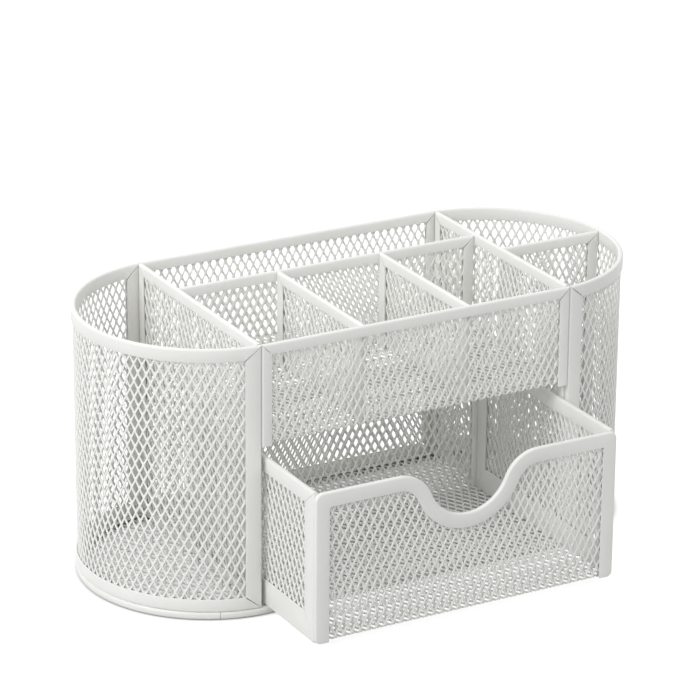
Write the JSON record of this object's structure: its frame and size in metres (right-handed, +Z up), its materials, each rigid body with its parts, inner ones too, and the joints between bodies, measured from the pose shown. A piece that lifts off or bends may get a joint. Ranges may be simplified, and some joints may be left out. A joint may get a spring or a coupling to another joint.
{
  "type": "pen stand with drawer",
  "caption": "Pen stand of white expanded-metal mesh: a divided tray over a sliding drawer, between two round-fronted pen cups.",
  "frame": {"origin": "centre of the stand's base, on the surface that it rests on", "axes": "+X to the right seen from the front, along the stand's length; +Y to the rear; +Z up; the drawer pulls out along -Y"},
  "size_m": [0.2212, 0.137, 0.105],
  "materials": {
    "white_mesh": "satin",
    "white_edging": "satin"
  },
  "bodies": {
    "stand": {"base_mesh": "white_mesh", "base_rim": "white_edging", "left_cross_divider_mesh": "white_mesh", "left_cross_divider_rail": "white_edging", "left_cross_divider_uprights": "white_edging", "left_cup_bottom_rail": "white_edging", "left_cup_front_upright": "white_edging", "left_cup_mesh": "white_mesh", "left_cup_rear_upright": "white_edging", "left_cup_top_rim": "white_edging", "left_side_bottom_rail": "white_edging", "left_side_front_upright": "white_edging", "left_side_mesh": "white_mesh", "left_side_rear_upright": "white_edging", "left_side_top_rail": "white_edging", "rear_divider_mesh": "white_mesh", "rear_divider_rail": "white_edging", "rear_divider_uprights": "white_edging", "rear_wall_bottom_rail": "white_edging", "rear_wall_mesh": "white_mesh", "rear_wall_top_rail": "white_edging", "rear_wall_uprights": "white_edging", "right_cross_divider_mesh": "white_mesh", "right_cross_divider_rail": "white_edging", "right_cross_divider_uprights": "white_edging", "right_cup_bottom_rail": "white_edging", "right_cup_divider_mesh": "white_mesh", "right_cup_divider_rail": "white_edging", "right_cup_divider_uprights": "white_edging", "right_cup_front_upright": "white_edging", "right_cup_mesh": "white_mesh", "right_cup_rear_upright": "white_edging", "right_cup_top_rim": "white_edging", "right_side_bottom_rail": "white_edging", "right_side_front_upright": "white_edging", "right_side_mesh": "white_mesh", "right_side_rear_upright": "white_edging", "right_side_top_rail": "white_edging", "tray_front_rail": "white_edging", "tray_front_uprights": "white_edging", "tray_mesh": "white_mesh"},
    "drawer": {"drawer_basket_mesh": "white_mesh", "drawer_front_frame": "white_edging", "drawer_left_bottom_rail": "white_edging", "drawer_left_front_upright": "white_edging", "drawer_left_mesh": "white_mesh", "drawer_left_rear_upright": "white_edging", "drawer_left_top_rail": "white_edging", "drawer_rear_top_rail": "white_edging", "drawer_rear_uprights": "white_edging", "drawer_right_bottom_rail": "white_edging", "drawer_right_front_upright": "white_edging", "drawer_right_mesh": "white_mesh", "drawer_right_rear_upright": "white_edging", "drawer_right_top_rail": "white_edging"}
  },
  "joints": [
    {"name": "drawer_slide", "type": "slide", "parent": "stand", "child": "drawer", "axis": [0, -1, 0], "range_m": [-0.037, 0.038]}
  ]
}
